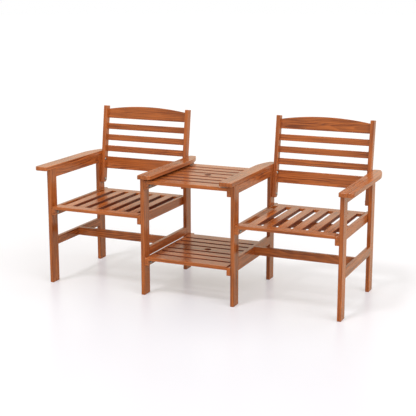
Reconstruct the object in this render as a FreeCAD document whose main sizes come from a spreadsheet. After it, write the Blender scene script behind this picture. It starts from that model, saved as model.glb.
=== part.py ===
# Companion seat bench in oiled hardwood: two slatted armchairs, joined by a low table with a
# shelf under it. Four upright frames carry everything: two legs, an armrest, a rail and a
# stretcher each. Slatted panels and chair backs are bolted between the frames.
#
# Axes: X to the sitter's left, Y to the back, Z up, origin on the floor in the middle of the
# outer box. The bench is the same on both sides of X = 0, so its right-hand half (X > 0) is
# built and mirrored. Lengths are millimetres, angles are degrees.
import FreeCAD, Part
import os
import re

import Sketcher

# The driving sizes: name, value, what it is
SIZES = [
    ("table_bay", 464, "clear width between the two inner frames"),
    ("chair_bay", 518, "clear width between the two frames of one chair"),
    ("frame_depth", 560, "front face of the front leg to back face of the rear leg"),
    ("leg_height", 600, "floor to underside of the armrest"),
    ("board", 20, "thickness of legs, armrests, rails and side rails"),
    ("leg_width", 60, "width of a leg, seen from the side"),
    ("rail_height", 43, "height of arm rails, stretchers and crossbars"),
    ("stretcher_top", 238.5, "floor to top of the stretchers and crossbars"),
    ("arm_width", 72, "width of an armrest"),
    ("arm_front_overhang", 35, "armrest in front of the front leg"),
    ("arm_rear_overhang", 30, "armrest behind the rear leg"),
    ("arm_taper_length", 153, "curved stretch at the rear of the outer edge"),
    ("arm_taper_inset", 35, "how far that curve comes in"),
    ("arm_outer_corner", 20, "radius of the front corner on the overhanging side"),
    ("arm_small_corner", 8, "radius of the other armrest corners"),
    ("side_rail_height", 45, "height of the side rails of the seats and the table"),
    ("slat_board", 18, "thickness of seat and table slats"),
    ("seat_height", 409.5, "floor to top of the seats"),
    ("seat_side_drop", 1.5, "side rails of a seat below its top"),
    ("seat_rear_gap", 24.5, "open strip behind each seat"),
    ("seat_rail_board", 16, "thickness of a seat's front and rear boards"),
    ("seat_front_rail_width", 55, "front board of a seat"),
    ("seat_rear_rail_width", 55, "rear board of a seat"),
    ("seat_slat_width", 45, "one seat slat"),
    ("seat_end_gap", 29, "gap between the outermost slat and the side rail"),
    ("batten_setback", 233, "front of the legs to front of the batten"),
    ("batten_width", 59, "batten across under the seat slats"),
    ("batten_board", 25, "thickness of the batten"),
    ("table_drop", 10, "table top below the underside of the armrests"),
    ("shelf_height", 200, "floor to top of the shelf"),
    ("shelf_side_drop", 5, "side rails of the shelf below its top"),
    ("shelf_rail_height", 40, "height of the side rails of the shelf"),
    ("table_rear_gap", 38, "open strip behind the table and the shelf"),
    ("table_end_slat_width", 71, "front and rear slat of the table and shelf"),
    ("table_middle_slat_width", 70, "slat with the umbrella hole"),
    ("table_slat_width", 52, "the four slats between them"),
    ("umbrella_hole", 36, "diameter of the umbrella holes"),
    ("recline", 7.76, "lean of the chair backs"),
    ("back_foot_inset", 46, "back face of the rear legs to front of the stile's foot"),
    ("back_foot_gap", 36.5, "seat top to the stile's foot"),
    ("stile_depth", 38, "depth of a back stile, front to back"),
    ("stile_length", 429, "length of a back stile"),
    ("stile_foot_corner", 20, "radius at the rear of the stile's foot"),
    ("back_board", 16, "thickness of the back's rails and slats"),
    ("back_rear_step", 2, "those boards in front of the back face of the stile"),
    ("bottom_rail_start", 79, "stile's foot to lower edge of the bottom rail"),
    ("bottom_rail_width", 66, "bottom rail of the back"),
    ("back_slat_width", 33, "one back slat"),
    ("top_rail_start", 361, "stile's foot to lower edge of the top rail"),
    ("top_rail_end", 50, "height of the top rail at its ends"),
    ("top_rail_rise", 20.5, "rise of its crown above the ends"),
    ("edge_round", 2.5, "rounding of the wood's edges"),
    ("tenon_board", 8, "thickness of the tenons"),
    ("tenon_shoulder", 5, "shoulder at each edge of a wide tenon"),
    ("arm_tenon_shoulder", 12, "shoulder in front of and behind a leg's tenon"),
    ("rail_shoulder", 8, "shoulder above and below the tenon of a rail"),
    ("short_tenon", 10, "tenons that enter the face or end of a thin board"),
    ("long_tenon", 15, "tenons of the arm rails and stretchers in the legs"),
    ("side_clearance", 0.2, "between tenon and mortise, each side"),
    ("end_clearance", 1, "between tenon end and mortise bottom"),
    ("bolt_from_edge", 13.5, "bolt axis above the bottom of a side rail"),
    ("stile_bolt_from_foot", 19, "lower bolt of a stile, along the stile"),
    ("stile_bolt_below_arm", 25, "upper bolt of a stile, below the armrest"),
    ("bolt", 6, "diameter of the bolts"),
    ("bolt_head", 11, "diameter of the bolt heads"),
    ("bolt_head_height", 3.6, "height of the bolt heads"),
    ("bolt_head_dome", 2.7, "rounding of the bolt heads"),
    ("bolt_socket", 4, "hexagon socket, across flats"),
    ("bolt_socket_depth", 2.4, "depth of the socket"),
    ("washer", 16, "diameter of the washers"),
    ("washer_board", 1.4, "thickness of the washers"),
    ("insert", 10, "diameter of the threaded inserts"),
    ("insert_length", 13, "length of the inserts"),
    ("bolt_clearance", 0.2, "between a bolt and its hole, each side"),
    ("screw", 4, "diameter of the batten screws"),
    ("screw_head", 8, "diameter of their countersunk heads"),
    ("screw_head_height", 2.6, "height of those heads"),
    ("screw_bite", 11, "length of the screw inside a slat"),
    ("screw_recess", 4.2, "width of the cross recess in the head"),
    ("screw_recess_slot", 0.9, "width of one slot of that recess"),
    ("screw_recess_depth", 1.4, "depth of that recess"),
]
SEAT_SLATS = 6
BACK_SLATS = 3

# Places and sizes worked out from them
WORKED_OUT = {
    # Y of the legs' front faces, so that the outer box is centred on Y = 0
    "leg_front": "(arm_front_overhang - back_reach) / 2",
    "back_reach": "frame_depth - back_foot_inset + stile_length * sin(recline)"
                  " + stile_depth * cos(recline) - edge_round * (sin(recline) + cos(recline) - 1)",
    "leg_rear": "leg_front + frame_depth",
    # X of the frames' faces
    "table_face": "table_bay / 2",
    "chair_near": "table_face + board",
    "chair_far": "chair_near + chair_bay",
    # Slatted panels
    "table_height": "leg_height - table_drop",
    "table_depth": "frame_depth - table_rear_gap",
    "seat_inner_width": "chair_bay - 2 * board",
    "table_inner_width": "table_bay - 2 * board",
    "seat_slat_start": "leg_front + seat_front_rail_width",
    "seat_slat_end": "leg_rear - seat_rear_gap - seat_rear_rail_width",
    "seat_slat_pitch": "(seat_inner_width - 2 * seat_end_gap - seat_slat_width)"
                       " / %d" % (SEAT_SLATS - 1),
    "table_gap": "(table_depth - 2 * table_end_slat_width - table_middle_slat_width"
                 " - 4 * table_slat_width) / 6",
    "batten_front": "leg_front + batten_setback",
    # Chair backs, whose own axes start at the foot of the stile and lean with it
    "foot_y": "leg_rear - back_foot_inset",
    "foot_z": "seat_height + back_foot_gap",
    "back_recess": "stile_depth - back_board - back_rear_step",
    "back_slat_gap": "(top_rail_start - bottom_rail_start - bottom_rail_width"
                     " - %d * back_slat_width) / %d" % (BACK_SLATS, BACK_SLATS + 1),
    "crown_radius": "(seat_inner_width ^ 2 / 4 + top_rail_rise ^ 2) / (2 * top_rail_rise)",
    "arm_taper_radius": "(arm_taper_length ^ 2 + arm_taper_inset ^ 2) / (2 * arm_taper_inset)",
    # Bolts through the stiles: depth behind the front face, and distance up the stile
    "low_bolt_in": "stile_depth / 2",
    "low_bolt_up": "stile_bolt_from_foot",
    "high_bolt_in": "back_recess / 2",
    "high_bolt_up": "(leg_height - stile_bolt_below_arm - foot_z"
                    " + high_bolt_in * sin(recline)) / cos(recline)",
    # Bolts through the side rails
    "front_bolt_y": "leg_front + leg_width / 2",
    "rear_bolt_y": "leg_rear - leg_width / 2",
}

# The sections of the tenons at the tops of the legs and at the ends of the frames' rails
ARM_TENON = ("tenon_board", "leg_width - 2 * arm_tenon_shoulder")
RAIL_TENON = ("tenon_board", "rail_height - 2 * rail_shoulder")

# How close a measured edge lies to the plane that it is looked for on
NEAR = 0.01

WHOLE_WORD = re.compile(r"[a-z][a-z_]*")
SIZE_NAMES = [name for name, value, note in SIZES]
START_VALUES = {name: value for name, value, note in SIZES}
AXES = {"x": 0, "y": 1, "z": 2}

doc = FreeCAD.newDocument("companion_bench")
sheet = doc.addObject("Spreadsheet::Sheet", "sizes")
for row, (name, value, note) in enumerate(SIZES, start=1):
    sheet.set("A%d" % row, name)
    sheet.set("B%d" % row, str(value))
    sheet.setAlias("B%d" % row, name)
    sheet.set("C%d" % row, note)
doc.recompute()

nodes = []


def spelled_out(text):
    """An expression with every worked-out name replaced, down to cells of the sheet."""
    def replace(match):
        word = match.group()
        if word in SIZE_NAMES:
            return "sizes." + word
        if word in WORKED_OUT:
            return "(" + spelled_out(WORKED_OUT[word]) + ")"
        return word
    return WHOLE_WORD.sub(replace, text)


def bind(thing, prop, text):
    thing.setExpression(prop, spelled_out(text))


def leaned(corner):
    """A point in a chair back's own axes, as a point in the bench's axes."""
    across, depth, up = corner
    return (across,
            "foot_y + (%s) * cos(recline) + (%s) * sin(recline)" % (depth, up),
            "foot_z - (%s) * sin(recline) + (%s) * cos(recline)" % (depth, up))


def place(thing, corner, leaning=False, turn=None):
    """Bind a placement to a corner, leaning back with the chair back if asked."""
    if leaning:
        thing.Placement = FreeCAD.Placement(FreeCAD.Vector(),
                                            FreeCAD.Rotation(FreeCAD.Vector(-1, 0, 0), 5))
        bind(thing, "Placement.Rotation.Angle", "recline")
        corner = leaned(corner)
    elif turn is not None:
        thing.Placement = FreeCAD.Placement(FreeCAD.Vector(), turn)
    for axis, text in zip("xyz", corner):
        bind(thing, "Placement.Base." + axis, text)


def turned_to(pointing):
    """The turn that takes +Z to one of the directions used for bolts and screws."""
    return {"+x": FreeCAD.Rotation(FreeCAD.Vector(0, 1, 0), 90),
            "-x": FreeCAD.Rotation(FreeCAD.Vector(0, 1, 0), -90),
            "+z": FreeCAD.Rotation()}[pointing]


def as_node(thing, label):
    thing.Label = label
    nodes.append(thing)
    return thing


def mirrored(source, label):
    """The left-hand twin of a right-hand piece."""
    twin = doc.addObject("Part::Mirroring", label)
    twin.Source = source
    twin.Normal = FreeCAD.Vector(1, 0, 0)
    return as_node(twin, label)


def pair(source, label):
    """Keep a right-hand piece and its mirrored twin as nodes, named by their side."""
    as_node(source, "right_" + label)
    mirrored(source, "left_" + label)


def group(label, pattern, places, leaning=False):
    """Copies of one pattern piece, as one node. Each place is a corner and a turn."""
    copies = []
    for corner, turn in places:
        copy = doc.addObject("App::Link", pattern.Name + "_copy")
        copy.LinkedObject = pattern
        place(copy, corner, leaning, turn)
        copies.append(copy)
    compound = doc.addObject("Part::Compound", label)
    compound.Links = copies
    return compound


def draw_chain(sketch, points):
    """Straight lines from point to point, with their ends joined."""
    corners = [FreeCAD.Vector(across, up, 0) for across, up in points]
    lines = [sketch.addGeometry(Part.LineSegment(start, end), False)
             for start, end in zip(corners, corners[1:])]
    for line, next_line in zip(lines, lines[1:]):
        sketch.addConstraint(Sketcher.Constraint("Coincident", line, 2, next_line, 1))
    return lines


def dimension(sketch, name, text, *where):
    """A named driving dimension, bound to an expression."""
    index = sketch.addConstraint(Sketcher.Constraint(*where))
    sketch.renameConstraint(index, name)
    bind(sketch, "Constraints." + name, text)


def draw_rectangle(sketch, wide, high):
    """A rectangle from the origin."""
    start = 30
    bottom, right, top, left = draw_chain(sketch, [(0, 0), (start, 0), (start, start),
                                                   (0, start), (0, 0)])
    sketch.addConstraint(Sketcher.Constraint("Coincident", left, 2, bottom, 1))
    sketch.addConstraint(Sketcher.Constraint("Coincident", bottom, 1, -1, 1))
    for line in (bottom, top):
        sketch.addConstraint(Sketcher.Constraint("Horizontal", line))
    for line in (left, right):
        sketch.addConstraint(Sketcher.Constraint("Vertical", line))
    dimension(sketch, "wide", wide, "Distance", bottom, start)
    dimension(sketch, "high", high, "Distance", right, start)


def draw_armrest(sketch, wide, high):
    """Straight inner edge on the Y axis, outer edge curving in towards the rear end."""
    width = START_VALUES["arm_width"]
    inset = START_VALUES["arm_taper_inset"]
    length = START_VALUES["frame_depth"]
    taper = START_VALUES["arm_taper_length"]
    bulge = FreeCAD.Vector(width - inset / 4, length - taper / 2, 0)
    outer_rear = FreeCAD.Vector(width, length - taper, 0)
    rear_end = FreeCAD.Vector(width - inset, length, 0)
    rear, inner, front, outer = draw_chain(sketch, [(width - inset, length), (0, length), (0, 0),
                                                    (width, 0), (width, length - taper)])
    arc = sketch.addGeometry(Part.Arc(outer_rear, bulge, rear_end), False)
    # A sketch arc starts at the end from which it runs anticlockwise
    sketch.addConstraint(Sketcher.Constraint("Tangent", outer, 2, arc, 1))
    sketch.addConstraint(Sketcher.Constraint("Coincident", arc, 2, rear, 1))
    sketch.addConstraint(Sketcher.Constraint("Coincident", front, 1, -1, 1))
    for line in (front, rear):
        sketch.addConstraint(Sketcher.Constraint("Horizontal", line))
    for line in (outer, inner):
        sketch.addConstraint(Sketcher.Constraint("Vertical", line))
    dimension(sketch, "wide", wide, "Distance", front, width)
    dimension(sketch, "high", high, "Distance", inner, length)
    dimension(sketch, "rear_width", wide + " - arm_taper_inset", "Distance", rear, width - inset)
    dimension(sketch, "taper_radius", "arm_taper_radius", "Radius", arc,
              (taper ** 2 + inset ** 2) / (2 * inset))


def draw_crowned(sketch, wide, high):
    """A rectangle whose top edge is an arc that rises in the middle."""
    width = START_VALUES["chair_bay"] - 2 * START_VALUES["board"]
    end = START_VALUES["top_rail_end"]
    rise = START_VALUES["top_rail_rise"]
    near_end, bottom, far_end = draw_chain(sketch, [(0, end), (0, 0), (width, 0), (width, end)])
    arc = sketch.addGeometry(Part.Arc(FreeCAD.Vector(width, end, 0),
                                      FreeCAD.Vector(width / 2, end + rise, 0),
                                      FreeCAD.Vector(0, end, 0)), False)
    sketch.addConstraint(Sketcher.Constraint("Coincident", far_end, 2, arc, 1))
    sketch.addConstraint(Sketcher.Constraint("Coincident", arc, 2, near_end, 1))
    sketch.addConstraint(Sketcher.Constraint("Coincident", bottom, 1, -1, 1))
    sketch.addConstraint(Sketcher.Constraint("Horizontal", bottom))
    sketch.addConstraint(Sketcher.Constraint("Vertical", far_end))
    sketch.addConstraint(Sketcher.Constraint("Vertical", near_end))
    dimension(sketch, "wide", wide, "Distance", bottom, width)
    dimension(sketch, "far_end", high, "Distance", far_end, end)
    dimension(sketch, "near_end", high, "Distance", near_end, end)
    dimension(sketch, "crown", "crown_radius", "Radius", arc,
              (width ** 2 / 4 + rise ** 2) / (2 * rise))


def span(edge, axis):
    low, high = edge.BoundBox.XMin, edge.BoundBox.XMax
    if axis == "y":
        low, high = edge.BoundBox.YMin, edge.BoundBox.YMax
    if axis == "z":
        low, high = edge.BoundBox.ZMin, edge.BoundBox.ZMax
    return high - low


def runs_along(edge, axis):
    return all(span(edge, other) < NEAR for other in "xyz" if other != axis)


def round_edges(body, wanted, radius):
    """Round the edges of a body that a test picks out."""
    base = body.Tip
    names = ["Edge%d" % number for number, edge in enumerate(base.Shape.Edges, start=1)
             if wanted(edge)]
    fillet = body.newObject("PartDesign::Fillet", "rounding")
    fillet.Base = (base, names)
    bind(fillet, "Radius", radius)
    doc.recompute()


class Board:
    """A piece cut from one board: a section drawn across its run, then padded along it."""
    PLANES = {"x": ("YZ_Plane", False), "y": ("XZ_Plane", True), "z": ("XY_Plane", False)}

    def __init__(self, name, run, size, corner, leaning=False, draw=draw_rectangle):
        self.run = run
        self.size = size
        self.corner = corner
        self.body = doc.addObject("PartDesign::Body", name)
        role, backwards = self.PLANES[run]
        sketch = self.body.newObject("Sketcher::SketchObject", "section")
        origin = self.body.Origin.OriginFeatures
        plane = [feature for feature in origin if feature.Role == role][0]
        sketch.AttachmentSupport = [(plane, "")]
        sketch.MapMode = "FlatFace"
        across = [part for part, axis in zip(size, "xyz") if axis != run]
        draw(sketch, *across)
        pad = self.body.newObject("PartDesign::Pad", "board")
        pad.Profile = sketch
        pad.Reversed = backwards
        bind(pad, "Length", size[AXES[run]])
        place(self.body, corner, leaning)
        doc.recompute()

    def round_edges(self, wanted, radius="edge_round"):
        round_edges(self.body, wanted, radius)

    def round_long_edges(self):
        self.round_edges(lambda edge: runs_along(edge, self.run))

    def feature(self, kind, name, corner, turn=None):
        """A primitive added to or cut from the board, placed in the board's outer axes."""
        made = self.body.newObject("PartDesign::" + kind, name)
        inside = ["(%s) - (%s)" % (place_at, own) for place_at, own in zip(corner, self.corner)]
        place(made, inside, turn=turn)
        return made

    def block(self, kind, name, corner, size):
        made = self.feature(kind + "Box", name, corner)
        for prop, text in zip(("Length", "Width", "Height"), size):
            bind(made, prop, text)

    def drill(self, corner, pointing, diameter, depth, name="hole"):
        made = self.feature("SubtractiveCylinder", name, corner, turned_to(pointing))
        bind(made, "Radius", "(%s) / 2" % diameter)
        bind(made, "Height", depth)


def tenon(holder, receiver, pointing, middle, section, length):
    """A tenon on one board and its mortise in another, from the same sizes.

    The middle is the centre of the tenon's root, where the two boards meet. The section gives
    the tenon's two sizes across its direction, in the order of the axes.
    """
    sign, axis = pointing
    along = AXES[axis]

    def box(side, end):
        size = ["(%s) + 2 * (%s)" % (text, side) for text in section]
        size.insert(along, "(%s) + (%s)" % (length, end))
        corner = ["(%s) - (%s) / 2" % (at, text) for at, text in zip(middle, size)]
        corner[along] = middle[along]
        if sign == "-":
            corner[along] = "(%s) - (%s)" % (middle[along], size[along])
        return corner, size

    if holder is not None:
        holder.block("Additive", "tenon", *box("0", "0"))
    if receiver is not None:
        receiver.block("Subtractive", "mortise", *box("side_clearance", "end_clearance"))


# The bolts, each as the face of the leg where it enters, and the way it points
bolt_places = []


def bolted(through, leg, corner, pointing, leaning=False):
    """A bolt from a board into the leg behind it: clear hole, insert hole, and its place."""
    backwards = {"+x": "-x", "-x": "+x"}[pointing]
    through.drill(corner, backwards, "bolt + 2 * bolt_clearance", "board", "bolt_hole")
    if leaning:
        corner = leaned(corner)
    leg.drill(corner, pointing, "insert + 2 * bolt_clearance", "insert_length", "insert_hole")
    bolt_places.append((corner, pointing))


# Upright frames

def upright_frame(name, near):
    """Two legs, arm rail and stretcher, of which near is the lower X of the boards."""
    middle = near + " + board / 2"
    legs = []
    for piece, front in (("_front_leg", "leg_front"), ("_rear_leg", "leg_rear - leg_width")):
        leg = Board(name + piece, "z", ("board", "leg_width", "leg_height"), (near, front, "0"))
        leg.round_edges(lambda edge: runs_along(edge, "z") or edge.BoundBox.ZMax < NEAR)
        tenon(leg, None, "+z", (middle, front + " + leg_width / 2", "leg_height"),
              ARM_TENON, "short_tenon")
        pair(leg.body, name + piece)
        legs.append(leg)
    for piece, top in (("_arm_rail", "leg_height"), ("_stretcher", "stretcher_top")):
        rail = Board(name + piece, "y", ("board", "frame_depth - 2 * leg_width", "rail_height"),
                     (near, "leg_front + leg_width", top + " - rail_height"))
        rail.round_long_edges()
        height = top + " - rail_height / 2"
        for leg, pointing, y in zip(legs, ("-y", "+y"), ("leg_front + leg_width",
                                                         "leg_rear - leg_width")):
            tenon(rail, leg, pointing, (middle, y, height), RAIL_TENON, "long_tenon")
        pair(rail.body, name + piece)
    return legs, rail


def armrest(name, near, leg_middle):
    """An armrest that overhangs towards +X, with a mortise over each leg."""
    arm = Board(name, "z", ("arm_width", "arm_front_overhang + frame_depth + arm_rear_overhang",
                            "board"),
                (near, "leg_front - arm_front_overhang", "leg_height"), draw=draw_armrest)
    width = START_VALUES["arm_width"]
    rear = arm.body.Shape.BoundBox.YLength - NEAR
    arm.round_edges(lambda edge: (runs_along(edge, "z") and edge.BoundBox.XMin > width - NEAR
                                  and edge.BoundBox.YMin < NEAR), "arm_outer_corner")
    arm.round_edges(lambda edge: (runs_along(edge, "z")
                                  and (edge.BoundBox.XMax < NEAR or edge.BoundBox.YMax > rear)),
                    "arm_small_corner")
    arm.round_edges(lambda edge: span(edge, "z") < NEAR)
    for front in ("leg_front", "leg_rear - leg_width"):
        tenon(None, arm, "+z", (leg_middle, front + " + leg_width / 2", "leg_height"),
              ARM_TENON, "short_tenon")
    return arm.body


inner_legs, inner_stretcher = upright_frame("inner", "table_face")
outer_legs, outer_stretcher = upright_frame("outer", "chair_far")
pair(armrest("outer_armrest", "chair_far", "chair_far + board / 2"), "outer_armrest")
inner_arm = armrest("inner_armrest", "0 - chair_near", "0 - table_face - board / 2")
as_node(inner_arm, "left_inner_armrest")
mirrored(inner_arm, "right_inner_armrest")

# Crossbar between the stretchers of a chair
crossbar = Board("crossbar", "x", ("chair_bay", "board", "rail_height"),
                 ("chair_near", "leg_front + frame_depth / 2 - board / 2",
                  "stretcher_top - rail_height"))
crossbar.round_long_edges()
for pointing, x, stretcher in (("-x", "chair_near", inner_stretcher),
                               ("+x", "chair_far", outer_stretcher)):
    tenon(crossbar, stretcher, pointing,
          (x, "leg_front + frame_depth / 2", "stretcher_top - rail_height / 2"),
          RAIL_TENON, "short_tenon")
pair(crossbar.body, "crossbar")


# Slatted panels

def side_rail(name, near, top, face, pointing, legs, tall="side_rail_height"):
    """A rail on edge beside a slatted panel, bolted to both legs of one frame."""
    under = "%s - %s" % (top, tall)
    rail = Board(name, "y", ("board", "frame_depth", tall), (near, "leg_front", under))
    rail.round_edges(lambda edge: True)
    for leg, y in zip(legs, ("front_bolt_y", "rear_bolt_y")):
        bolted(rail, leg, (face, y, under + " + bolt_from_edge"), pointing)
    pair(rail.body, name)
    return rail


def flat_tenon(holder, receiver, pointing, middle, width):
    """A wide flat tenon of a slat or rail that runs along X or Y."""
    tenon(holder, receiver, pointing, middle, (width + " - 2 * tenon_shoulder", "tenon_board"),
          "short_tenon")


def table_slat(name, y, width, height, drop):
    """A slat along X between side rails whose tops lie a drop below the slat's top. The height
    is that of its underside, and its tenons are in the middle of what the rails cover."""
    slat = Board(name, "x", ("table_inner_width", width, "slat_board"),
                 ("0 - table_inner_width / 2", y, height))
    slat.round_long_edges()
    for pointing, x in (("-x", "0 - table_inner_width / 2"), ("+x", "table_inner_width / 2")):
        flat_tenon(slat, None, pointing,
                   (x, "%s + %s / 2" % (y, width), "%s + (slat_board - %s) / 2" % (height, drop)),
                   width)
    return slat


def table_panel(name, top, drop, tall):
    """The table top or the shelf: two side rails and seven slats, the middle one with a hole."""
    rail = side_rail(name + "_side_rail", "table_face - board", "%s - %s" % (top, drop),
                     "table_face", "+x", inner_legs, tall)
    slats = [("end", "table_end_slat_width"), ("plain", "table_slat_width"),
             ("plain", "table_slat_width"), ("middle", "table_middle_slat_width"),
             ("plain", "table_slat_width"), ("plain", "table_slat_width"),
             ("end", "table_end_slat_width")]
    y = "leg_front"
    height = top + " - slat_board"
    tenon_height = "%s - (slat_board + %s) / 2" % (top, drop)
    plain_slat = table_slat(name + "_plain_slat", "0", "table_slat_width", "0", drop)
    plain_places = []
    for kind, width in slats:
        flat_tenon(None, rail, "+x", ("table_inner_width / 2", y + " + %s / 2" % width,
                                      tenon_height), width)
        if kind == "plain":
            plain_places.append((("0 - table_inner_width / 2", y, height), None))
        else:
            label = name + "_umbrella_slat"
            if kind == "end":
                label = name + ("_front_slat" if y == "leg_front" else "_rear_slat")
            slat = table_slat(label, y, width, height, drop)
            if kind == "middle":
                slat.drill(("0", y + " + %s / 2" % width, height), "+z", "umbrella_hole",
                           "slat_board", "umbrella_hole")
            as_node(slat.body, label)
        y = y + " + %s + table_gap" % width
    as_node(group(name + "_slats", plain_slat.body, plain_places), name + "_slats")


table_panel("table", "table_height", "0", "side_rail_height")
table_panel("shelf", "shelf_height", "shelf_side_drop", "shelf_rail_height")


def seat():
    """Side rails, front and rear rail, slats front to back, and a batten under them."""
    left = "chair_near + board"
    under = "seat_height - slat_board"
    rails_under = "seat_height - seat_rail_board"
    rails_top = "seat_height - seat_side_drop"
    rails = [side_rail("seat_inner_side_rail", "chair_near", rails_top, "chair_near", "-x",
                       inner_legs),
             side_rail("seat_outer_side_rail", "chair_far - board", rails_top, "chair_far",
                       "+x", outer_legs)]
    ends = (("-x", left, rails[0]), ("+x", "chair_far - board", rails[1]))
    front = Board("seat_front_rail", "x",
                  ("seat_inner_width", "seat_front_rail_width", "seat_rail_board"),
                  (left, "leg_front", rails_under))
    rear = Board("seat_rear_rail", "x",
                 ("seat_inner_width", "seat_rear_rail_width", "seat_rail_board"),
                 (left, "seat_slat_end", rails_under))
    batten = Board("seat_batten", "x", ("seat_inner_width", "batten_width", "batten_board"),
                   (left, "batten_front", under + " - batten_board"))
    for board in (front, rear, batten):
        board.round_long_edges()
        width, thickness = board.size[1:]
        for pointing, x, rail in ends:
            middle = (x, "%s + %s / 2" % (board.corner[1], width),
                      "%s + %s / 2" % (board.corner[2], thickness))
            flat_tenon(board, rail, pointing, middle, width)

    # The slats' tenons lie in the middle of the thinner rails, whose tops are level with them
    slat = Board("seat_slat", "y",
                 ("seat_slat_width", "seat_slat_end - seat_slat_start", "slat_board"),
                 ("0", "seat_slat_start", under))
    slat.round_long_edges()
    slat_ends = (("-y", "seat_slat_start", front), ("+y", "seat_slat_end", rear))
    tenon_height = "seat_height - seat_rail_board / 2"
    for pointing, y, board in slat_ends:
        flat_tenon(slat, None, pointing, ("seat_slat_width / 2", y, tenon_height),
                   "seat_slat_width")
    screw_y = "batten_front + batten_width / 2"
    screw_hole = "screw + 2 * bolt_clearance"
    slat.drill(("seat_slat_width / 2", screw_y, under), "+z", screw_hole,
               "screw_bite + end_clearance", "screw_hole")

    slat_places = []
    for number in range(SEAT_SLATS):
        x = left + " + seat_end_gap + %d * seat_slat_pitch" % number
        centre = x + " + seat_slat_width / 2"
        slat_places.append(((x, "seat_slat_start", under), None))
        for pointing, y, board in slat_ends:
            flat_tenon(None, board, pointing, (centre, y, tenon_height), "seat_slat_width")
        screw_corner = (centre, screw_y, under + " - batten_board")
        batten.drill(screw_corner, "+z", screw_hole, "batten_board", "screw_hole")
        countersink = batten.feature("SubtractiveCone", "countersink", screw_corner)
        bind(countersink, "Radius1", "screw_head / 2 + bolt_clearance")
        bind(countersink, "Radius2", "screw / 2 + bolt_clearance")
        bind(countersink, "Height", "screw_head_height")
        screw_places.append((screw_corner, "+z"))
    pair(front.body, "seat_front_rail")
    pair(rear.body, "seat_rear_rail")
    pair(batten.body, "seat_batten")
    pair(group("seat_slats", slat.body, slat_places), "seat_slats")


screw_places = []
seat()


# Chair backs, in their own leaning axes: across, depth behind the stile's front, up the stile

def stile(name, near, face, pointing, leg):
    """A back stile, bolted twice to the leg beside it."""
    board = Board(name, "z", ("board", "stile_depth", "stile_length"), (near, "0", "0"),
                  leaning=True)
    rear = START_VALUES["stile_depth"] - NEAR
    board.round_edges(lambda edge: (runs_along(edge, "x") and edge.BoundBox.YMin > rear
                                    and edge.BoundBox.ZMax < NEAR), "stile_foot_corner")
    top = START_VALUES["stile_length"] - NEAR
    board.round_edges(lambda edge: (span(edge, "x") < NEAR or edge.BoundBox.ZMin > top
                                    or (edge.BoundBox.ZMax < NEAR and edge.BoundBox.YMax < NEAR)))
    for depth, up in (("low_bolt_in", "low_bolt_up"), ("high_bolt_in", "high_bolt_up")):
        bolted(board, leg, (face, depth, up), pointing, leaning=True)
    pair(board.body, name)
    return board


def chair_back():
    """Two stiles, a bottom rail, slats and a crowned top rail between them."""
    left = "chair_near + board"
    stiles = [stile("back_inner_stile", "chair_near", "chair_near", "-x", inner_legs[1]),
              stile("back_outer_stile", "chair_far - board", "chair_far", "+x", outer_legs[1])]
    ends = (("-x", left, stiles[0]), ("+x", "chair_far - board", stiles[1]))
    depth = "back_recess + back_board / 2"

    def end_tenons(holder, receivers, start, width):
        for (pointing, x, receiver), cut in zip(ends, receivers):
            tenon(holder, receiver if cut else None, pointing,
                  (x, depth, "%s + %s / 2" % (start, width)),
                  ("tenon_board", width + " - 2 * tenon_shoulder"), "short_tenon")

    both = (True, True)
    bottom = Board("back_bottom_rail", "x",
                   ("seat_inner_width", "back_board", "bottom_rail_width"),
                   (left, "back_recess", "bottom_rail_start"), leaning=True)
    bottom.round_long_edges()
    end_tenons(bottom, both, "bottom_rail_start", "bottom_rail_width")
    pair(bottom.body, "back_bottom_rail")

    top = Board("back_top_rail", "y", ("seat_inner_width", "back_board", "top_rail_end"),
                (left, "back_recess", "top_rail_start"), leaning=True, draw=draw_crowned)
    inner_width = START_VALUES["chair_bay"] - 2 * START_VALUES["board"]
    top.round_edges(lambda edge: span(edge, "x") > inner_width - NEAR)
    end_tenons(top, both, "top_rail_start", "top_rail_end")
    pair(top.body, "back_top_rail")

    start = "bottom_rail_start + bottom_rail_width + back_slat_gap"
    slat = Board("back_slat", "x", ("seat_inner_width", "back_board", "back_slat_width"),
                 (left, "back_recess", start), leaning=True)
    slat.round_long_edges()
    end_tenons(slat, (False, False), start, "back_slat_width")
    places = []
    for number in range(BACK_SLATS):
        up = start + " + %d * (back_slat_width + back_slat_gap)" % number
        end_tenons(None, both, up, "back_slat_width")
        places.append(((left, "back_recess", up), None))
    pair(group("back_slats", slat.body, places, leaning=True), "back_slats")


chair_back()


# Fasteners, each drawn along its own axis from the face of the leg, or from under the batten

def fastener(name):
    body = doc.addObject("PartDesign::Body", name)

    def part(kind, label, low, high, **sizes):
        made = body.newObject("PartDesign::" + kind, label)
        bind(made, "Placement.Base.z", low)
        bind(made, "Height", "(%s) - (%s)" % (high, low))
        for prop, text in sizes.items():
            bind(made, prop, text)
        doc.recompute()
        return made
    return body, part


bolt, bolt_part = fastener("bolt")
head_face = "0 - board - washer_board"
bolt_part("AdditiveCylinder", "head", head_face + " - bolt_head_height", head_face,
          Radius="bolt_head / 2")
head_top = bolt.Shape.BoundBox.ZMin + NEAR
round_edges(bolt, lambda edge: edge.BoundBox.ZMax < head_top, "bolt_head_dome")
bolt_part("AdditiveCylinder", "shank", head_face, "insert_length - end_clearance",
          Radius="bolt / 2")
socket = bolt_part("SubtractivePrism", "socket", head_face + " - bolt_head_height",
                   head_face + " - bolt_head_height + bolt_socket_depth",
                   Circumradius="bolt_socket / sqrt(3)")
socket.Polygon = 6

washer, washer_part = fastener("washer")
washer_part("AdditiveCylinder", "disc", head_face, "0 - board", Radius="washer / 2")
washer_part("SubtractiveCylinder", "hole", head_face, "0 - board",
            Radius="bolt / 2 + bolt_clearance")

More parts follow.
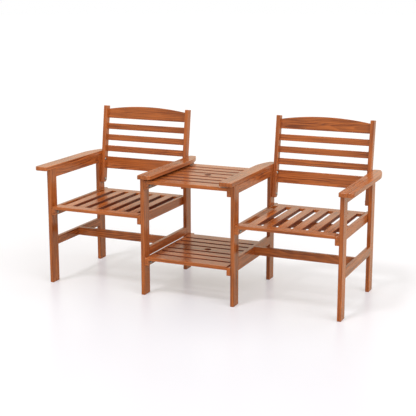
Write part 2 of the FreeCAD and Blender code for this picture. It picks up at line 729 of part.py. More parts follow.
insert, insert_part = fastener("insert")
insert_part("AdditiveCylinder", "sleeve", "0", "insert_length", Radius="insert / 2")
insert_part("SubtractiveCylinder", "bore", "0", "insert_length",
            Radius="bolt / 2 + bolt_clearance / 2")

screw, screw_part = fastener("screw")
screw_part("AdditiveCone", "head", "0", "screw_head_height", Radius1="screw_head / 2",
           Radius2="screw / 2")
screw_part("AdditiveCylinder", "shank", "screw_head_height", "batten_board + screw_bite",
           Radius="screw / 2")
for long_side, short_side in (("Length", "Width"), ("Width", "Length")):
    slot = screw_part("SubtractiveBox", "recess", "0", "screw_recess_depth",
                      **{long_side: "screw_recess", short_side: "screw_recess_slot"})
    for axis, side in (("x", "Length"), ("y", "Width")):
        width = "screw_recess" if side == long_side else "screw_recess_slot"
        bind(slot, "Placement.Base." + axis, "0 - %s / 2" % width)


def both_sides(places):
    """Each place with its turn, and the same on the other side of the bench."""
    opposite = {"+x": "-x", "-x": "+x", "+z": "+z"}
    turned = []
    for (x, y, up), pointing in places:
        turned.append(((x, y, up), turned_to(pointing)))
        turned.append((("0 - (%s)" % x, y, up), turned_to(opposite[pointing])))
    return turned


for label, pattern, places in (("bolts", bolt, bolt_places), ("washers", washer, bolt_places),
                               ("threaded_inserts", insert, bolt_places),
                               ("batten_screws", screw, screw_places)):
    as_node(group(label, pattern, both_sides(places)), label)

doc.recompute()

# Nothing is written unless every object is sound
failed = [thing.Name for thing in doc.Objects if "Invalid" in thing.State or "Error" in thing.State]
if failed:
    raise RuntimeError("objects that failed: " + ", ".join(failed))
for thing in nodes:
    if thing.Shape.isNull() or not thing.Shape.isValid() or not thing.Shape.Solids:
        raise RuntimeError("not a sound solid: " + thing.Label)

os.makedirs("parts", exist_ok=True)
outer_box = FreeCAD.BoundBox()
for thing in nodes:
    thing.Shape.exportStep(os.path.join("parts", thing.Label + ".step"))
    outer_box.add(thing.Shape.optimalBoundingBox(False))
print("%d nodes, %d solids" % (len(nodes), sum(len(thing.Shape.Solids) for thing in nodes)))
print("outer box %.1f x %.1f x %.1f mm, centre %.2f, %.2f, foot %.2f"
      % (outer_box.XLength, outer_box.YLength, outer_box.ZLength,
         outer_box.Center.x, outer_box.Center.y, outer_box.ZMin))
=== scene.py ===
# %% [markdown]
# # A companion seat bench in oiled hardwood
#
# Two slatted armchairs share one frame with a small table between them. The shapes come
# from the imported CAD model, one mesh for each named piece. This lesson gives every piece
# its finish, and then sets up a white studio and the photograph's camera.
#
# The boards already have their rounded edges, tenons, bolts and screws, so nothing is
# modelled twice here. The work is in the wood: its grain has to run along each board,
# around the edges and across the ends, as if the board had been sawn from a tree.

# %% Load the bench
import math

import bpy
from mathutils import Matrix, Vector


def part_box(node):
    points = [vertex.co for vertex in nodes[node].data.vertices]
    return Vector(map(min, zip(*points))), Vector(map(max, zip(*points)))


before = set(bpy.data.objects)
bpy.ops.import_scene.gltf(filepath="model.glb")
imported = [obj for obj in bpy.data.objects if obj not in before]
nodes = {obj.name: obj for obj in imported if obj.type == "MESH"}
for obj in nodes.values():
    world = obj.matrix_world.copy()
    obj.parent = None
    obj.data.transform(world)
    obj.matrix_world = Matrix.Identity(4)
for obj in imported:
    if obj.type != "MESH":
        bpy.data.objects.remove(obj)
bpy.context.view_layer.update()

# %% [markdown]
# ## The camera
#
# The picture was taken with a long lens from the front right, at the eye height of someone
# standing. The place, the aim and the lens were worked out together with the sizes of the
# boards, from the places of their edges in the picture. The bench sits slightly off the
# middle of the picture, and a small lens shift does that without turning the camera.

# %% Place the camera
CAMERA_PLACE = Vector((2.0257535, -4.6410267, 1.5659170))
CAMERA_AIM = Vector((0.0061499, -0.0471313, 0.4818599))
CAMERA_LENS = 87.668
CAMERA_SENSOR = 36
CAMERA_SHIFT = (0.0017, -0.0273)

camera_data = bpy.data.cameras.new("camera")
camera_data.lens = CAMERA_LENS
camera_data.sensor_width = CAMERA_SENSOR
camera_data.shift_x, camera_data.shift_y = CAMERA_SHIFT
camera = bpy.data.objects.new("camera", camera_data)
camera.location = CAMERA_PLACE
camera.rotation_euler = (CAMERA_AIM - CAMERA_PLACE).to_track_quat("-Z", "Y").to_euler()
bpy.context.scene.collection.objects.link(camera)
bpy.context.scene.camera = camera
bpy.context.scene.view_settings.view_transform = "Standard"
print("camera", round((CAMERA_AIM - CAMERA_PLACE).length, 2), "m from the bench")

# %% [markdown]
# ## Building node trees
#
# A material is a tree of nodes. A few short helpers add a node and join two sockets, so
# that the recipes below read as lists of steps. A value that is a socket gets a link, and
# any other value is typed into the socket. A range is a pair of values: where a mask is
# empty, and where it is full.

# %% Helpers that add and join nodes
def add_node(tree, kind, **settings):
    """Add a node and set its properties, such as a Math node's operation."""
    made = tree.nodes.new(kind)
    for name, value in settings.items():
        setattr(made, name, value)
    return made


def feed(tree, node, **values):
    """Give a node its inputs by name or number, as links or as typed values."""
    for name, value in values.items():
        key = int(name[1:]) if name[0] == "_" else name.replace("_", " ")
        socket = node.inputs[key]
        if isinstance(value, bpy.types.NodeSocket):
            tree.links.new(value, socket)
        else:
            socket.default_value = value
    return node


def new_group(name, inputs, outputs):
    """An empty shader node group with named sockets."""
    group = bpy.data.node_groups.new(name, "ShaderNodeTree")
    for direction, sockets in (("INPUT", inputs), ("OUTPUT", outputs)):
        for socket_name, kind, start in sockets:
            socket = group.interface.new_socket(socket_name, in_out=direction,
                                                socket_type="NodeSocket" + kind)
            if start is not None:
                socket.default_value = start
    return group, group.nodes.new("NodeGroupInput"), group.nodes.new("NodeGroupOutput")


print("helpers for nodes and groups")


# %% Helpers for single steps
def maths(tree, operation, first, second=0.0, third=0.0, clamp=False):
    """One step of arithmetic on numbers."""
    node = add_node(tree, "ShaderNodeMath", operation=operation, use_clamp=clamp)
    return feed(tree, node, _0=first, _1=second, _2=third).outputs[0]


def vector_maths(tree, operation, first, second):
    """One step of arithmetic on points or directions."""
    node = add_node(tree, "ShaderNodeVectorMath", operation=operation)
    return feed(tree, node, _0=first, _1=second).outputs["Vector"]


def dot(tree, first, second):
    """How much two directions agree."""
    node = add_node(tree, "ShaderNodeVectorMath", operation="DOT_PRODUCT")
    return feed(tree, node, _0=first, _1=second).outputs["Value"]


def noise(tree, vector, scale, detail, roughness=0.5):
    """Soft random patches, as a node with a Fac and a Color output."""
    node = add_node(tree, "ShaderNodeTexNoise")
    return feed(tree, node, Vector=vector, Scale=scale, Detail=detail, Roughness=roughness)


def ranged(tree, value, given_range, new_range=(0.0, 1.0)):
    """Spread the values of one range over another, with soft ends."""
    node = add_node(tree, "ShaderNodeMapRange", interpolation_type="SMOOTHSTEP")
    feed(tree, node, Value=value, From_Min=given_range[0], From_Max=given_range[1],
         To_Min=new_range[0], To_Max=new_range[1])
    return node.outputs["Result"]


def blended(tree, factor, first, second):
    """One colour over another."""
    node = add_node(tree, "ShaderNodeMix", data_type="RGBA", blend_type="MIX")
    # A Mix node has sockets for each kind of data: inputs 6 and 7 and output 2 are colours
    feed(tree, node, _0=factor, _6=first, _7=second)
    return node.outputs[2]


print("helpers for arithmetic, noise, ranges and colours")

# %% [markdown]
# ## Timber
#
# A board is a thin slice of a tree. The rings are cylinders around the heart of the trunk,
# so the pattern on a face depends on where the heart lay. A flat texture would have to be
# laid on every face by hand, and its lines would not meet at the edges. A solid pattern
# made from the board's own coordinates does this by itself: long lines and arches on the
# faces, straighter lines on the edges, and arcs on the sawn ends.
#
# The group takes a point in board coordinates, in metres: first along the grain, second
# across the face, third through the thickness. Each board's number moves the slice to
# another place in another tree and gives it another tone.

# %% The timber group and its sockets
LIGHT_WOOD = (0.540, 0.146, 0.028, 1)
DARK_WOOD = (0.180, 0.036, 0.007, 1)

timber, given, result = new_group(
    "timber",
    [("Board Point", "Vector", None), ("Board Number", "Float", 0.0),
     ("Ring Spacing", "Float", 0.0045), ("Heart Depth", "Float", 0.05),
     ("Light Wood", "Color", LIGHT_WOOD), ("Dark Wood", "Color", DARK_WOOD),
     ("Figure", "Float", 0.5), ("Tone Range", "Float", 0.16), ("Satin", "Float", 0.16)],
    [("Color", "Color", None), ("Roughness", "Float", None), ("Height", "Float", None)])
print("timber takes", ", ".join(socket.name for socket in given.outputs if socket.name))

# %% [markdown]
# ### Its place in the tree
#
# White Noise turns a board's number into random numbers that stay the same in every render.
# The first moves the slice along the trunk. The second gives the board its tone, and moves
# the heart of the trunk to one side.

# %% Place of the board in the trunk
ALONG_THE_TRUNK = (9.0, 0.0, 0.0)
HEART_ASIDE = 0.09
TONE_SEED = 31.7
MIDDLE = 0.5

own_place = add_node(timber, "ShaderNodeTexWhiteNoise", noise_dimensions="1D")
feed(timber, own_place, W=given.outputs["Board Number"])
own_tone = add_node(timber, "ShaderNodeTexWhiteNoise", noise_dimensions="1D")
feed(timber, own_tone, W=maths(timber, "ADD", given.outputs["Board Number"], TONE_SEED))
tone_from_middle = maths(timber, "SUBTRACT", own_tone.outputs["Value"], MIDDLE)

shift = vector_maths(timber, "MULTIPLY", own_place.outputs["Color"], ALONG_THE_TRUNK)
point = vector_maths(timber, "ADD", given.outputs["Board Point"], shift)
heart = add_node(timber, "ShaderNodeCombineXYZ")
feed(timber, heart, X=0.0, Y=maths(timber, "MULTIPLY", tone_from_middle, HEART_ASIDE),
     Z=given.outputs["Heart Depth"])
print("a board lies up to", ALONG_THE_TRUNK[0], "m along its trunk")

# %% [markdown]
# ### Growth rings
#
# A ring is a constant distance from the heart. Perfect circles look turned, not grown, so
# the heart wanders: slowly and far, as a trunk bends, and quickly and little, as it grew
# around its branches. Early wood is pale, late wood darkens and then stops sharply.

# %% Rings around a wandering heart
# Bends in each metre along and across the trunk, and their reach in metres
SLOW_BENDS = (1.3, 3.0, 3.0)
SLOW_DETAIL = 1.0
SLOW_REACH = (0.0, 0.05, 0.05)
QUICK_BENDS = (4.5, 22.0, 22.0)
QUICK_DETAIL = 2.0
QUICK_REACH = (0.0, 0.016, 0.016)
ACROSS_THE_TRUNK = (0.0, 1.0, 1.0)
LATE_WOOD_BEGINS = (0.15, 0.85)
LATE_WOOD_ENDS = (1.0, 0.86)


def stretched_noise(patches, detail, roughness=0.5):
    """Noise in the timber, with its patches stretched along the grain."""
    stretched = vector_maths(timber, "MULTIPLY", point, patches)
    return noise(timber, stretched, 1.0, detail, roughness)


def wandering(bends, detail, reach):
    """A random offset that changes along the trunk."""
    colour = stretched_noise(bends, detail).outputs["Color"]
    from_middle = vector_maths(timber, "SUBTRACT", colour, (MIDDLE,) * 3)
    return vector_maths(timber, "MULTIPLY", from_middle, reach)


wander = vector_maths(timber, "ADD", wandering(SLOW_BENDS, SLOW_DETAIL, SLOW_REACH),
                      wandering(QUICK_BENDS, QUICK_DETAIL, QUICK_REACH))
from_heart = vector_maths(timber, "ADD", vector_maths(timber, "ADD", point, wander),
                          heart.outputs["Vector"])
radius = add_node(timber, "ShaderNodeVectorMath", operation="LENGTH")
feed(timber, radius, _0=vector_maths(timber, "MULTIPLY", from_heart, ACROSS_THE_TRUNK))
rings = maths(timber, "DIVIDE", radius.outputs["Value"], given.outputs["Ring Spacing"])
in_ring = maths(timber, "FRACT", rings)
late_wood = maths(timber, "MULTIPLY", ranged(timber, in_ring, LATE_WOOD_BEGINS),
                  ranged(timber, in_ring, LATE_WOOD_ENDS))
print("rings:", len(timber.nodes), "nodes so far")

# %% [markdown]
# ### Fibres, streaks and pores
#
# Fibres are hair-fine lines along the grain, streaks are bands of colour a few millimetres
# wide, and clouds are slow changes along a board. Pores are short dark dashes, which Voronoi
# cells stretched along the grain give.

# %% Lines along the grain
# Patches in each metre along and across the grain
FIBRE_PATCHES = (14.0, 1100.0, 1100.0)
FIBRE_DETAIL = 2.0
STREAK_PATCHES = (3.2, 190.0, 190.0)
STREAK_DETAIL = 3.0
STREAK_ROUGHNESS = 0.6
CLOUD_PATCHES = (5.0, 30.0, 30.0)
CLOUD_DETAIL = 2.0
PORE_PATCHES = (110.0, 1300.0, 1300.0)
PORE_RANGE = (0.30, 0.12)

fibres = stretched_noise(FIBRE_PATCHES, FIBRE_DETAIL).outputs[0]
streaks = stretched_noise(STREAK_PATCHES, STREAK_DETAIL, STREAK_ROUGHNESS).outputs[0]
clouds = stretched_noise(CLOUD_PATCHES, CLOUD_DETAIL).outputs[0]
pore_cells = add_node(timber, "ShaderNodeTexVoronoi")
feed(timber, pore_cells, Scale=1.0,
     Vector=vector_maths(timber, "MULTIPLY", point, PORE_PATCHES))
pores = ranged(timber, pore_cells.outputs["Distance"], PORE_RANGE)
print("lines and pores:", len(timber.nodes), "nodes so far")

# %% [markdown]
# ### Colour, roughness and height
#
# Late wood, streaks and fibres all pull the colour from light towards dark, and the clouds
# make them stronger and weaker. The same lines decide how rough the wood is and where it is
# high or low, so that light and colour tell the same story.

# %% Colour of the timber
STREAK_RANGE = (0.36, 0.70)
STREAK_SHARE = 0.70
FIBRE_RANGE = (0.35, 0.70)
FIBRE_SHARE = 0.22
CLOUD_RANGE = (0.25, 0.75)
CLOUD_STRENGTH = (0.55, 1.15)
PORE_BRIGHTNESS = (1.0, 0.62)

dark_streaks = maths(timber, "MULTIPLY", ranged(timber, streaks, STREAK_RANGE), STREAK_SHARE)
dark_fibres = maths(timber, "MULTIPLY", ranged(timber, fibres, FIBRE_RANGE), FIBRE_SHARE)
darkness = maths(timber, "MULTIPLY", late_wood, given.outputs["Figure"])
darkness = maths(timber, "ADD", darkness, dark_streaks)
darkness = maths(timber, "ADD", darkness, dark_fibres)
darkness = maths(timber, "MULTIPLY", darkness,
                 ranged(timber, clouds, CLOUD_RANGE, CLOUD_STRENGTH), clamp=True)
colour = blended(timber, darkness, given.outputs["Light Wood"], given.outputs["Dark Wood"])

own_brightness = maths(timber, "ADD", 1.0,
                       maths(timber, "MULTIPLY", tone_from_middle, given.outputs["Tone Range"]))
brightness = maths(timber, "MULTIPLY", own_brightness,
                   ranged(timber, pores, (0.0, 1.0), PORE_BRIGHTNESS))
toned = add_node(timber, "ShaderNodeVectorMath", operation="SCALE")
feed(timber, toned, _0=colour, Scale=brightness)
print("colour:", len(timber.nodes), "nodes so far")

# %% Roughness and height of the timber
ROUGHER_FIBRES = 0.22
ROUGHER_PORES = 0.18
HIGH_FIBRES = 0.5
HIGH_LATE_WOOD = 0.25
DEEP_PORES = 0.6

roughness = maths(timber, "ADD", given.outputs["Satin"],
                  maths(timber, "MULTIPLY", maths(timber, "SUBTRACT", fibres, MIDDLE),
                        ROUGHER_FIBRES))
roughness = maths(timber, "ADD", roughness, maths(timber, "MULTIPLY", pores, ROUGHER_PORES))
hills = maths(timber, "ADD", maths(timber, "MULTIPLY", fibres, HIGH_FIBRES),
              maths(timber, "MULTIPLY", late_wood, HIGH_LATE_WOOD))
height = maths(timber, "SUBTRACT", hills, maths(timber, "MULTIPLY", pores, DEEP_PORES))
feed(timber, result, Color=toned.outputs["Vector"], Roughness=roughness, Height=height)
print("timber group:", len(timber.nodes), "nodes")

# %% [markdown]
# ## Lighter, rougher edges: a painted highlight
#
# The rounded edges are painted lighter in colour, which is a painted highlight, the same on
# every edge. They are also a little rougher, as where hands and cloth rub the oil off. The
# Bevel node compares each point's normal with its neighbourhood, so it finds the edges of any
# mesh, also of one made of loose triangles. Noise breaks the line up, so that it is not even.

# %% The edge highlight group
EDGE_RADIUS = 0.004
EDGE_SAMPLES = 6
EDGE_TURN = (0.01, 0.16)
# Noise that breaks up the painted highlight and the rougher rub along the edges
EDGE_PATCH_SCALE = 38.0
EDGE_PATCH_DETAIL = 3.0
EDGE_PATCH_RANGE = (0.30, 0.62)

highlit_and_worn, given, result = new_group(
    "edge_highlight_and_rub",
    [("Radius", "Float", EDGE_RADIUS), ("Vector", "Vector", None)],
    [("Mask", "Float", None)])
softened = add_node(highlit_and_worn, "ShaderNodeBevel", samples=EDGE_SAMPLES)
feed(highlit_and_worn, softened, Radius=given.outputs["Radius"])
surface = add_node(highlit_and_worn, "ShaderNodeNewGeometry")
same_way = dot(highlit_and_worn, softened.outputs["Normal"], surface.outputs["Normal"])
edge = ranged(highlit_and_worn, maths(highlit_and_worn, "SUBTRACT", 1.0, same_way), EDGE_TURN)
patches = noise(highlit_and_worn, given.outputs["Vector"], EDGE_PATCH_SCALE, EDGE_PATCH_DETAIL).outputs[0]
feed(highlit_and_worn, result, Mask=maths(highlit_and_worn, "MULTIPLY", edge, ranged(highlit_and_worn, patches, EDGE_PATCH_RANGE)))
print("worn edge group:", len(highlit_and_worn.nodes), "nodes")

# %% [markdown]
# ## Between the slats
#
# The sides of the slats in the narrow gaps are painted darker than their tops, and made a
# little rougher. The darkening is painted shade, because the shade of the gap alone is lighter.
# The mask is the part of the surface that looks across the slats, and it has soft, uneven
# borders.

# %% The slat side group
SIDEWAYS = (0.20, 0.85)
# Noise that breaks up the border of the painted shade on the slat sides
SHADE_BREAKUP_SCALE = 60.0
SHADE_BREAKUP_DETAIL = 3.0
SHADE_BREAKUP_RANGE = (0.25, 0.60)
SHADE_BREAKUP_STRENGTH = (0.75, 1.0)

slat_side, given, result = new_group(
    "slat_side",
    [("Across", "Vector", None), ("Vector", "Vector", None)],
    [("Mask", "Float", None)])
surface = add_node(slat_side, "ShaderNodeNewGeometry")
facing = maths(slat_side, "ABSOLUTE",
               dot(slat_side, surface.outputs["Normal"], given.outputs["Across"]))
shade_breakup = noise(slat_side, given.outputs["Vector"], SHADE_BREAKUP_SCALE, SHADE_BREAKUP_DETAIL).outputs[0]
feed(slat_side, result,
     Mask=maths(slat_side, "MULTIPLY", ranged(slat_side, facing, SIDEWAYS),
                ranged(slat_side, shade_breakup, SHADE_BREAKUP_RANGE, SHADE_BREAKUP_STRENGTH)))
print("slat side group:", len(slat_side.nodes), "nodes")

# %% [markdown]
# ## How each board lies
#
# The timber group needs board coordinates, so every wooden piece needs two directions: that
# of its grain and that across its wide face. The end of a piece's name says which board it
# is. The chair backs lean, so their boards have leaning directions of their own.

# %% Directions of the boards
RECLINE = math.radians(7.76)
ALONG_X = Vector((1, 0, 0))
ALONG_Y = Vector((0, 1, 0))
ALONG_Z = Vector((0, 0, 1))
UP_THE_BACK = Vector((0, math.sin(RECLINE), math.cos(RECLINE)))
THROUGH_THE_BACK = Vector((0, math.cos(RECLINE), -math.sin(RECLINE)))

# End of a piece's name: direction of the grain, direction across the wide face
LYING = {
    "leg": (ALONG_Z, ALONG_Y),
    "arm_rail": (ALONG_Y, ALONG_Z),
    "stretcher": (ALONG_Y, ALONG_Z),
    "armrest": (ALONG_Y, ALONG_X),
    "crossbar": (ALONG_X, ALONG_Z),
    "side_rail": (ALONG_Y, ALONG_Z),
    "seat_front_rail": (ALONG_X, ALONG_Y),
    "seat_rear_rail": (ALONG_X, ALONG_Y),
    "seat_batten": (ALONG_X, ALONG_Y),
    "seat_slats": (ALONG_Y, ALONG_X),
    "stile": (UP_THE_BACK, THROUGH_THE_BACK),
    "top_rail": (ALONG_X, UP_THE_BACK),
    "bottom_rail": (ALONG_X, UP_THE_BACK),
    "back_slats": (ALONG_X, UP_THE_BACK),
    "table_slats": (ALONG_X, ALONG_Y),
    "shelf_slats": (ALONG_X, ALONG_Y),
    "front_slat": (ALONG_X, ALONG_Y),
    "rear_slat": (ALONG_X, ALONG_Y),
    "umbrella_slat": (ALONG_X, ALONG_Y),
}


def lying(name):
    """Grain and wide direction of a wooden piece, or None for a metal one."""
    endings = [ending for ending in LYING if name.endswith(ending)]
    return LYING[max(endings, key=len)] if endings else None


wooden = [name for name in sorted(nodes) if lying(name)]
print(len(wooden), "wooden pieces; metal:", sorted(set(nodes) - set(wooden)))

# %% [markdown]
# ## Counting slats
#
# Where one piece holds several slats, each slat should look like a board of its own. The
# gaps between them are found in the mesh: the faces are laid side by side across the slats,
# and a gap is where no face reaches. A slat's number is the count of gaps passed before it.

# %% Gaps between the boards of a piece
LEAST_GAP = 0.001


def between_boards(node, across):
    """Middles of the gaps between the boards of one piece, measured across them."""
    spans = []
    for face in node.data.polygons:
        reach = [node.data.vertices[index].co.dot(across) for index in face.vertices]
        spans.append((min(reach), max(reach)))
    spans.sort()
    middles = []
    covered = spans[0][1]
    for low, high in spans:
        if low > covered + LEAST_GAP:
            middles.append((low + covered) / 2)
        covered = max(covered, high)
    return middles


gaps = {name: between_boards(nodes[name], lying(name)[1]) for name in wooden}
print(sum(len(found) + 1 for found in gaps.values()), "boards in", len(wooden), "pieces")

# %% [markdown]
# ## Board coordinates
#
# A Mapping node of the Texture type takes a point of the bench back to a board that is
# turned and moved. Its rotation holds the direction of the grain, the direction across the
# wide face and the direction through the board, and its location is the board's corner.

# %% From the bench to the board
NUMBER_STEP = 7.31


def board_coordinates(tree, place, name):
    """A point of the bench as the board sees it: along, across and through the board."""
    grain, across = lying(name)
    turn = Matrix((grain, across, grain.cross(across))).transposed().to_euler()
    mapping = add_node(tree, "ShaderNodeMapping", vector_type="TEXTURE")
    feed(tree, mapping, Vector=place, Location=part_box(name)[0], Rotation=turn)
    return mapping.outputs["Vector"]


def board_number(tree, board_point, name, first_number):
    """The piece's own number, and another step for each gap that lies before the point."""
    across = lying(name)[1]
    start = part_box(name)[0].dot(across)
    parts = add_node(tree, "ShaderNodeSeparateXYZ")
    feed(tree, parts, Vector=board_point)
    number = first_number
    for gap in gaps[name]:
        passed = maths(tree, "GREATER_THAN", parts.outputs["Y"], gap - start)
        number = maths(tree, "MULTIPLY_ADD", passed, NUMBER_STEP, number)
    return number


print("slats of a piece are", NUMBER_STEP, "apart in number")

# %% [markdown]
# ## A finish for every board
#
# The whole bench is one kind of timber with one oil, but boards from different trees differ,
# and boards are what the eye counts. So each piece gets a material of its own from the same
# groups: timber first, then a painted highlight on the edges over it, then painted shade on
# the sides of the slats in the gaps.

# %% Wood materials
# Colour and strength of the painted highlight on the rounded edges, and their added roughness
PAINTED_EDGE_HIGHLIGHT = (0.55, 0.20, 0.06, 1)
EDGE_HIGHLIGHT_STRENGTH = 0.45
RUB_DRYNESS = 0.12
# Colour and strength of the painted shade on the slat sides in the gaps, and their added
# roughness
PAINTED_GAP_SHADE = (0.100, 0.010, 0.001, 1)
GAP_SHADE_STRENGTH = 0.85
GAP_DULLNESS = 0.45
SIDES_IN_GAPS = ("seat_slats", "table_slats", "shelf_slats", "rear_slat", "umbrella_slat")
GRAIN_DEPTH = 0.0004
GRAIN_BUMP = 0.5
PIECE_STEP = 61.3


def wood_material(name, first_number):
    """The oiled finish of one wooden piece."""
    material = bpy.data.materials.new("oiled_wood_" + name)
    material.use_nodes = True
    tree = material.node_tree
    place = add_node(tree, "ShaderNodeTexCoord").outputs["Object"]
    board_point = board_coordinates(tree, place, name)
    wood = add_node(tree, "ShaderNodeGroup", node_tree=timber)
    feed(tree, wood, Board_Point=board_point, Light_Wood=LIGHT_WOOD, Dark_Wood=DARK_WOOD,
         Board_Number=board_number(tree, board_point, name, first_number))

    highlight_and_rub = add_node(tree, "ShaderNodeGroup", node_tree=highlit_and_worn)
    highlit_and_rubbed = feed(tree, highlight_and_rub, Vector=place, Radius=EDGE_RADIUS).outputs["Mask"]
    # Painted highlight: the colour of the rounded edges is lightened, and their roughness rises
    colour = blended(tree, maths(tree, "MULTIPLY", highlit_and_rubbed, EDGE_HIGHLIGHT_STRENGTH),
                     wood.outputs["Color"], PAINTED_EDGE_HIGHLIGHT)
    roughness = maths(tree, "MULTIPLY_ADD", highlit_and_rubbed, RUB_DRYNESS, wood.outputs["Roughness"])

    # Painted shade: the sides of the slats in the gaps are darkened in colour and made rougher
    if name.endswith(SIDES_IN_GAPS):
        side = add_node(tree, "ShaderNodeGroup", node_tree=slat_side)
        feed(tree, side, Vector=place, Across=lying(name)[1])
        painted_gap_shade = maths(tree, "MULTIPLY", side.outputs["Mask"], GAP_SHADE_STRENGTH)
        colour = blended(tree, painted_gap_shade, colour, PAINTED_GAP_SHADE)
        roughness = maths(tree, "MULTIPLY_ADD", painted_gap_shade, GAP_DULLNESS, roughness)

    bump = add_node(tree, "ShaderNodeBump")
    feed(tree, bump, Strength=GRAIN_BUMP, Distance=GRAIN_DEPTH, Height=wood.outputs["Height"])
    feed(tree, tree.nodes["Principled BSDF"], Base_Color=colour, Roughness=roughness,
         Normal=bump.outputs["Normal"])
    return material


def put_on(node, material):
    """The piece's only finish."""
    node.data.materials.clear()
    node.data.materials.append(material)


for place_in_list, name in enumerate(wooden):
    put_on(nodes[name], wood_material(name, place_in_list * PIECE_STEP))
print("wood on", len(wooden), "pieces")

# %% [markdown]
# ## Metal parts
#
# The bolts and washers are zinc-plated steel: grey with a faint cloudy bloom, a little duller
# on the washers. The inserts in the wood are brass, and the screws under the seats are
# yellow-passivated steel. One group makes the bloom for all of them.

# %% The plating group
BLOOM_SCALE = 420.0
BLOOM_DETAIL = 3.0
BLOOM_RANGE = (0.35, 0.70)
SPECKLE_SCALE = 2600.0
SPECKLE_DETAIL = 2.0
ROUGHER_BLOOM = 0.14

plating, given, result = new_group(
    "plating",
    [("Vector", "Vector", None), ("Bright", "Color", (0.6, 0.6, 0.6, 1)),
     ("Dull", "Color", (0.4, 0.4, 0.4, 1)), ("Polish", "Float", 0.3)],
    [("Color", "Color", None), ("Roughness", "Float", None), ("Height", "Float", None)])
bloom = noise(plating, given.outputs["Vector"], BLOOM_SCALE, BLOOM_DETAIL).outputs[0]
speckle = noise(plating, given.outputs["Vector"], SPECKLE_SCALE, SPECKLE_DETAIL).outputs[0]
cloudy = ranged(plating, bloom, BLOOM_RANGE)
uneven = maths(plating, "MULTIPLY", maths(plating, "ADD", cloudy, speckle), ROUGHER_BLOOM)
feed(plating, result,
     Color=blended(plating, cloudy, given.outputs["Bright"], given.outputs["Dull"]),
     Roughness=maths(plating, "ADD", given.outputs["Polish"], uneven), Height=speckle)
print("plating group:", len(plating.nodes), "nodes")

# %% Metal materials
PLATING_DEPTH = 0.00005
PLATING_BUMP = 0.3

# Piece: colour where bright, colour where dull, roughness where polished
METALS = {
    "bolts": ((0.50, 0.50, 0.48, 1), (0.34, 0.34, 0.34, 1), 0.26),
    "washers": ((0.44, 0.44, 0.43, 1), (0.28, 0.28, 0.29, 1), 0.34),
    "threaded_inserts": ((0.80, 0.56, 0.22, 1), (0.55, 0.36, 0.14, 1), 0.28),
    "batten_screws": ((0.66, 0.55, 0.28, 1), (0.44, 0.36, 0.20, 1), 0.30),
}


def metal_material(name, bright, dull, polish):
    """The plated finish of one kind of fastener."""
    material = bpy.data.materials.new("metal_" + name)
    material.use_nodes = True
    tree = material.node_tree
    place = add_node(tree, "ShaderNodeTexCoord").outputs["Object"]
    metal = add_node(tree, "ShaderNodeGroup", node_tree=plating)
    feed(tree, metal, Vector=place, Bright=bright, Dull=dull, Polish=polish)
    bump = add_node(tree, "ShaderNodeBump")
    feed(tree, bump, Strength=PLATING_BUMP, Distance=PLATING_DEPTH,
         Height=metal.outputs["Height"])
    feed(tree, tree.nodes["Principled BSDF"], Metallic=1.0, Base_Color=metal.outputs["Color"],
         Roughness=metal.outputs["Roughness"], Normal=bump.outputs["Normal"])
    return material


for name, finish in METALS.items():
    put_on(nodes[name], metal_material(name, *finish))
print("metal on", ", ".join(METALS))

# %% [markdown]
# ## The studio
#
# The bench was photographed in a white studio: light comes from all around, and four large
# lamps give the boards their lighter and darker sides and the floor its soft shadows. A
# world of one even white is such a room. It looks pure white to the camera and lights the
# wood less than fully, so that the lamps can do their part. The real walls stand in warm
# light, so what the oiled wood mirrors of them is a warm white.

# %% The white room
ROOM_LIGHT = 0.46
ROOM_IN_REFLECTIONS = 0.85
WHITE = (1, 1, 1, 1)
WARM_WHITE = (1.0, 0.93, 0.74, 1)


def seen_and_mirrored(tree):
    """Masks of the rays that show a surface to the eye, and of those that mirror it."""
    rays = add_node(tree, "ShaderNodeLightPath").outputs
    seen = maths(tree, "MAXIMUM", rays["Is Camera Ray"], rays["Is Transmission Ray"])
    return seen, rays["Is Glossy Ray"]


world = bpy.data.worlds.new("white_room")
bpy.context.scene.world = world
world.use_nodes = True
tree = world.node_tree
seen, mirrored = seen_and_mirrored(tree)
strength = maths(tree, "MULTIPLY_ADD", seen, 1.0 - ROOM_LIGHT, ROOM_LIGHT)
strength = maths(tree, "MULTIPLY_ADD", mirrored, ROOM_IN_REFLECTIONS - ROOM_LIGHT, strength)
feed(tree, tree.nodes["Background"], Color=blended(tree, mirrored, WHITE, WARM_WHITE),
     Strength=strength)
print("room lights the wood at", ROOM_LIGHT)

# %% [markdown]
# ## Lamps
#
# A lamp close by would light the near end of the bench more than the far end. Sun lamps are
# even, and a wide angle makes their shadows as soft as those of a large softbox. The key
# light is the narrowest, because one of the shadows in the photograph is clearer than the
# rest.

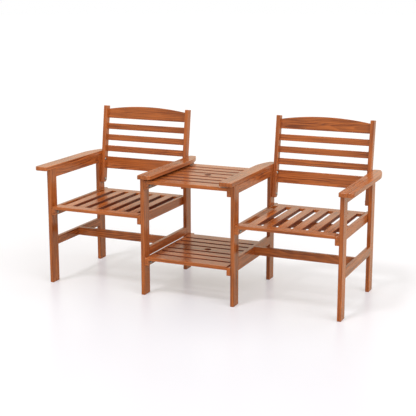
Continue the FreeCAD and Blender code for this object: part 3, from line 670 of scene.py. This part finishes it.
# %% Four soft lamps
# Name: direction in which it stands, strength as a share of white, width in degrees
LAMPS = {
    "key_front": ((-0.18, -0.45, 0.87), 0.36, 12),
    "from_behind": ((0.05, 0.50, 0.86), 0.18, 40),
    "low_front": ((0.30, -0.85, 0.43), 0.20, 50),
    "fill_right": ((0.80, -0.25, 0.55), 0.50, 60),
}
LAMP_DISTANCE = 4

for name, (towards, strength, width) in LAMPS.items():
    lamp = bpy.data.lights.new(name, "SUN")
    lamp.energy = strength * math.pi
    lamp.angle = math.radians(width)
    stand = bpy.data.objects.new(name, lamp)
    stand.location = LAMP_DISTANCE * Vector(towards).normalized()
    stand.rotation_euler = Vector(towards).to_track_quat("Z", "Y").to_euler()
    bpy.context.scene.collection.objects.link(stand)
print("lamps:", ", ".join(LAMPS))

# %% [markdown]
# ## The floor
#
# A real white sweep is never quite white in its own light. To show it as the picture does,
# the floor adds a little glow to the rays that go to the camera or into reflections, and
# none to the light on the bench. Its own shading still carries the bench's shadow. In the
# oil it is dimmer and warmer than to the eye, as the floor around the real bench was.

# %% Floor
FLOOR_RADIUS = 40
FLOOR_CORNERS = 96
FLOOR_GLOW = 0.30
FLOOR_ROUGHNESS = 0.30
FLOOR_WHITE = (0.565, 0.557, 0.592, 1)
FLOOR_IN_THE_OIL = (0.40, 0.35, 0.27, 1)
GLOW_IN_THE_OIL = (0.72, 0.64, 0.49, 1)

bpy.ops.object.select_all(action="DESELECT")
bpy.ops.mesh.primitive_circle_add(vertices=FLOOR_CORNERS, radius=FLOOR_RADIUS,
                                  fill_type="NGON", location=(0, 0, 0))
floor = bpy.context.object
floor.name = "floor"

sweep = bpy.data.materials.new("white_floor")
sweep.use_nodes = True
tree = sweep.node_tree
seen, mirrored = seen_and_mirrored(tree)
glow = maths(tree, "MULTIPLY", maths(tree, "MAXIMUM", seen, mirrored), FLOOR_GLOW)
feed(tree, tree.nodes["Principled BSDF"], Roughness=FLOOR_ROUGHNESS,
     Base_Color=blended(tree, mirrored, FLOOR_WHITE, FLOOR_IN_THE_OIL),
     Emission_Color=blended(tree, mirrored, WHITE, GLOW_IN_THE_OIL), Emission_Strength=glow)
put_on(floor, sweep)
print("floor", tuple(round(value, 1) for value in floor.dimensions))
